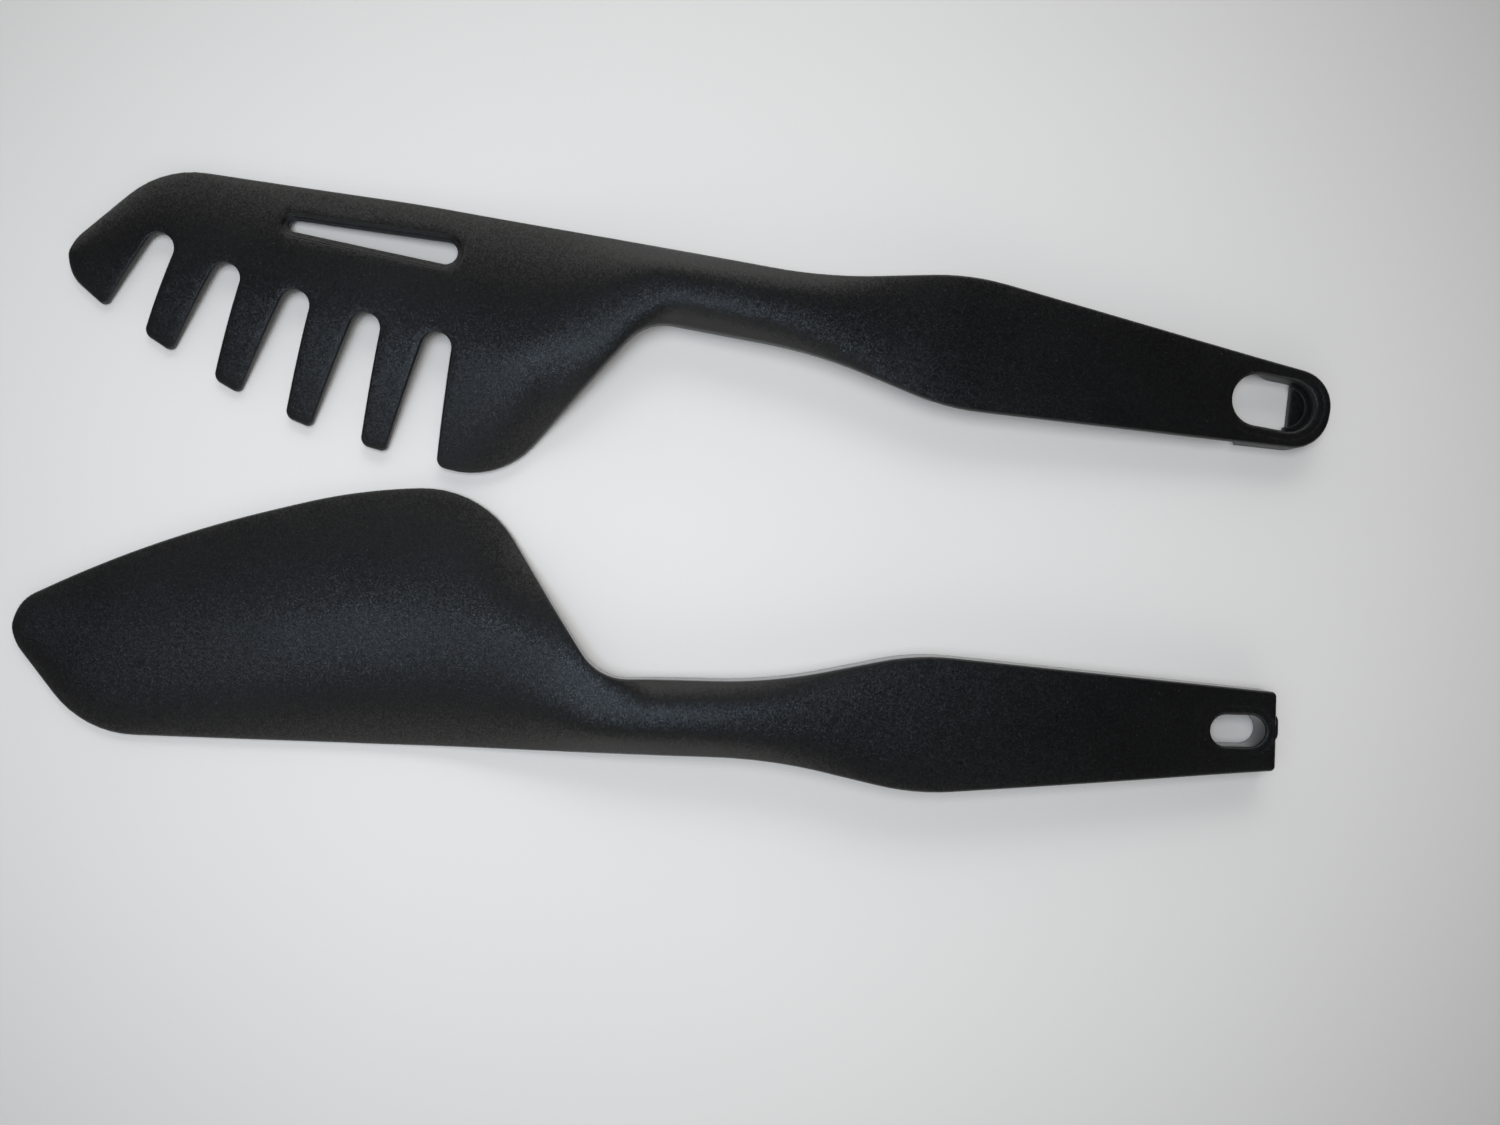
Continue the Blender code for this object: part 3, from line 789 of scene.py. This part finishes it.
def nylon(name, colour, side_roughness):
    """Black nylon: spark-eroded grain with glints on the faces, side walls of their own
    roughness, a painted highlight on the edges, which are coloured lighter, and a little dust and
    handling."""
    material = bpy.data.materials.new(name)
    material.use_nodes = True
    nodes = Nodes(material.node_tree)
    shader = material.node_tree.nodes["Principled BSDF"]
    place = nodes.add("ShaderNodeTexCoord").outputs["Object"]
    geometry = nodes.add("ShaderNodeNewGeometry")
    upright = nodes.add("ShaderNodeSeparateXYZ")
    nodes.link(geometry.outputs["True Normal"], upright.inputs["Vector"])
    level = nodes.maths("ABSOLUTE", upright.outputs["Z"], 0.0)
    face = nodes.spread(level, *FACE_LEVELS, 0.0, 1.0)
    edge = nodes.spread(geometry.outputs["Pointiness"], *EDGE_POINTINESS, 0.0, 1.0)

    glint = nodes.cells(place, GLINT_SCALE)
    tilt = nodes.vectors("SUBTRACT", glint, (0.5, 0.5, 0.5))
    tilted = nodes.scaled(tilt, nodes.maths("MULTIPLY", face, GLINT_TILT))
    facet = nodes.vectors("NORMALIZE", nodes.vectors("ADD", geometry.outputs["Normal"], tilted),
                          (0.0, 0.0, 0.0))
    coarse = nodes.noise(place, COARSE_GRAIN_SCALE, detail=2.0)
    grain = nodes.maths("ADD", nodes.noise(place, GRAIN_SCALE, detail=3.0, roughness=0.6),
                        nodes.maths("MULTIPLY", coarse, COARSE_GRAIN_SHARE))
    bump = nodes.add("ShaderNodeBump")
    bump.inputs["Distance"].default_value = GRAIN_DEPTH
    nodes.link(nodes.spread(face, 0.0, 1.0, *GRAIN_STRENGTHS), bump.inputs["Strength"])
    nodes.link(grain, bump.inputs["Height"])
    nodes.link(facet, bump.inputs["Normal"])

    handled = nodes.spread(nodes.noise(place, HANDLING_SCALE, detail=3.0), *NOISE_LEVELS,
                           -HANDLING, HANDLING)
    fine = nodes.spread(nodes.noise(place, FINE_SCALE, detail=2.0), *NOISE_LEVELS, -FINE, FINE)
    plain = nodes.spread(face, 0.0, 1.0, side_roughness, FACE_ROUGHNESS)
    rough = nodes.maths("ADD", plain, nodes.maths("ADD", handled, fine))
    rough = nodes.maths("SUBTRACT", rough, nodes.maths("MULTIPLY", edge, EDGE_POLISH))

    dust = nodes.spread(nodes.noise(place, DUST_SCALE, detail=1.0), *DUST_LEVELS,
                        0.0, DUST_SHARE)
    cloudy = tuple(c * CLOUD_GAIN + CLOUD_HAZE for c in colour)
    # Painted highlight: pointy edges are given this lighter colour.
    painted_edge_highlight = tuple(c * EDGE_HIGHLIGHT_GAIN + EDGE_HIGHLIGHT_HAZE for c in colour)
    cloud = nodes.spread(nodes.noise(place, CLOUD_SCALE, detail=4.0), *CLOUD_LEVELS,
                         0.0, CLOUD_SHARE)
    body = nodes.blend(cloud, colour, cloudy)
    # The painted edge highlight is mixed in where the surface is pointy.
    with_edge_highlight = nodes.blend(nodes.maths("MULTIPLY", edge, EDGE_HIGHLIGHT_SHARE), body, painted_edge_highlight)
    dusty = nodes.blend(nodes.maths("MULTIPLY", dust, face), with_edge_highlight, DUST_COLOUR)
    nodes.link(dusty, shader.inputs["Base Color"])
    nodes.link(rough, shader.inputs["Roughness"])
    nodes.link(bump.outputs["Normal"], shader.inputs["Normal"])
    shader.inputs["IOR"].default_value = NYLON_IOR
    shader.inputs["Specular IOR Level"].default_value = NYLON_SPECULAR
    return material


def add_floor():
    """A pale table, fine-grained, larger than any view of it, with a painted pool of light: paler
    in the middle, darker further out.
    """
    mesh = bpy.data.meshes.new("floor")
    half = TABLE_HALF
    mesh.from_pydata([(-half, -half, 0), (half, -half, 0), (half, half, 0), (-half, half, 0)], [],
                     [(0, 1, 2, 3)])
    floor = bpy.data.objects.new("floor", mesh)
    middle = (CAD_LOW + CAD_HIGH) / 2
    floor.location = (middle.x, middle.y, CAD_LOW.z - TABLE_GAP)
    bpy.context.scene.collection.objects.link(floor)
    material = bpy.data.materials.new("table_top")
    material.use_nodes = True
    nodes = Nodes(material.node_tree)
    shader = material.node_tree.nodes["Principled BSDF"]
    place = nodes.add("ShaderNodeTexCoord").outputs["Object"]
    patches = nodes.spread(nodes.noise(place, TABLE_PATCH_SCALE, detail=2.0), *NOISE_LEVELS,
                           0.0, 1.0)
    pale = nodes.blend(patches, *TABLE_TONES)
    # Painted pool of light: the table's colour fades to a darker tone away from the middle.
    reach = nodes.add("ShaderNodeVectorMath", operation="LENGTH")
    nodes.link(nodes.vectors("SUBTRACT", place, TABLE_PAINTED_LIGHT_MIDDLE), reach.inputs[0])
    outer = nodes.spread(reach.outputs["Value"], 0.0, TABLE_PAINTED_LIGHT_REACH, 0.0, 1.0)
    nodes.link(nodes.blend(nodes.maths("MULTIPLY", outer, outer), pale, TABLE_PAINTED_SHADE_TONE),
               shader.inputs["Base Color"])
    nodes.link(nodes.spread(nodes.noise(place, TABLE_GRAIN_SCALE, detail=2.0), *NOISE_LEVELS,
                            *TABLE_ROUGHNESS),
               shader.inputs["Roughness"])
    mesh.materials.append(material)


def add_softbox(name, location, aim, size, power, colour, mirrored=True):
    """A rectangular soft light that faces the aim. Unless mirrored, it lights what it reaches
    but isn't seen in its gloss."""
    light = bpy.data.lights.new(name, "AREA")
    light.shape = "RECTANGLE"
    light.size, light.size_y = size
    light.energy = power
    light.color = colour
    lamp = bpy.data.objects.new(name, light)
    lamp.location = location
    lamp.rotation_euler = (Vector(aim) - Vector(location)).to_track_quat("-Z", "Y").to_euler()
    lamp.visible_glossy = mirrored
    bpy.context.scene.collection.objects.link(lamp)


def add_room():
    """A bright room around the table, dim above it and along the handles."""
    world = bpy.data.worlds.new("room")
    bpy.context.scene.world = world
    world.use_nodes = True
    nodes = Nodes(world.node_tree)
    background = world.node_tree.nodes["Background"]
    direction = nodes.add("ShaderNodeSeparateXYZ")
    nodes.link(nodes.add("ShaderNodeTexCoord").outputs["Generated"], direction.inputs["Vector"])
    to_left = nodes.maths("MINIMUM", direction.outputs["X"], 0.0)
    to_right = nodes.maths("MAXIMUM", direction.outputs["X"], 0.0)
    left = nodes.maths("MULTIPLY", to_left, ROOM_LEFT)
    right = nodes.maths("MULTIPLY", to_right, ROOM_RIGHT)
    squashed = nodes.add("ShaderNodeCombineXYZ")
    nodes.link(nodes.maths("ADD", left, right), squashed.inputs["X"])
    nodes.link(direction.outputs["Y"], squashed.inputs["Y"])
    aside = nodes.add("ShaderNodeVectorMath", operation="LENGTH")
    nodes.link(squashed.outputs["Vector"], aside.inputs[0])
    fade = nodes.add("ShaderNodeValToRGB")
    while len(fade.color_ramp.elements) < len(ROOM_LEVELS):
        fade.color_ramp.elements.new(0.5)
    for element, (sideways, level) in zip(fade.color_ramp.elements, ROOM_LEVELS):
        element.position = sideways
        element.color = (*(level * tint for tint in ROOM_TINT), 1.0)
    nodes.link(aside.outputs["Value"], fade.inputs["Fac"])
    nodes.link(fade.outputs["Color"], background.inputs["Color"])
    lopsided = nodes.maths("MULTIPLY", direction.outputs["Y"], ROOM_FAR_SIDE)
    nodes.link(nodes.maths("MULTIPLY", nodes.maths("ADD", lopsided, 1.0), ROOM_STRENGTH),
               background.inputs["Strength"])


def add_lights():
    """A pale ceiling light and a side light, a cool window above and to the left, and a small
    light that makes the grain glint."""
    add_softbox("ceiling", **CEILING, mirrored=False)
    add_softbox("side", **SIDE, mirrored=False)
    add_softbox("window", **WINDOW)
    add_softbox("glint", **GLINT)


def add_camera():
    """A camera straight above the table, to the front right of the pair's middle."""
    camera = bpy.data.cameras.new("camera")
    camera.sensor_width = SENSOR
    camera.lens = SENSOR * CAMERA_HEIGHT / FIELD_WIDTH
    camera.clip_start = 0.01
    viewer = bpy.data.objects.new("camera", camera)
    middle = (CAD_LOW + CAD_HIGH) / 2
    viewer.location = (middle.x + CAMERA_OFFSET.x, middle.y + CAMERA_OFFSET.y,
                       CAD_LOW.z + CAMERA_HEIGHT)
    bpy.context.scene.collection.objects.link(viewer)
    bpy.context.scene.camera = viewer


pasta_fork(nylon("fork_nylon", FORK_BLACK, FORK_SIDE_ROUGHNESS))
spatula(nylon("spatula_nylon", SPATULA_BLACK, SPATULA_SIDE_ROUGHNESS))
add_floor()
add_room()
add_lights()
add_camera()
bpy.context.scene.view_settings.view_transform = "Standard"
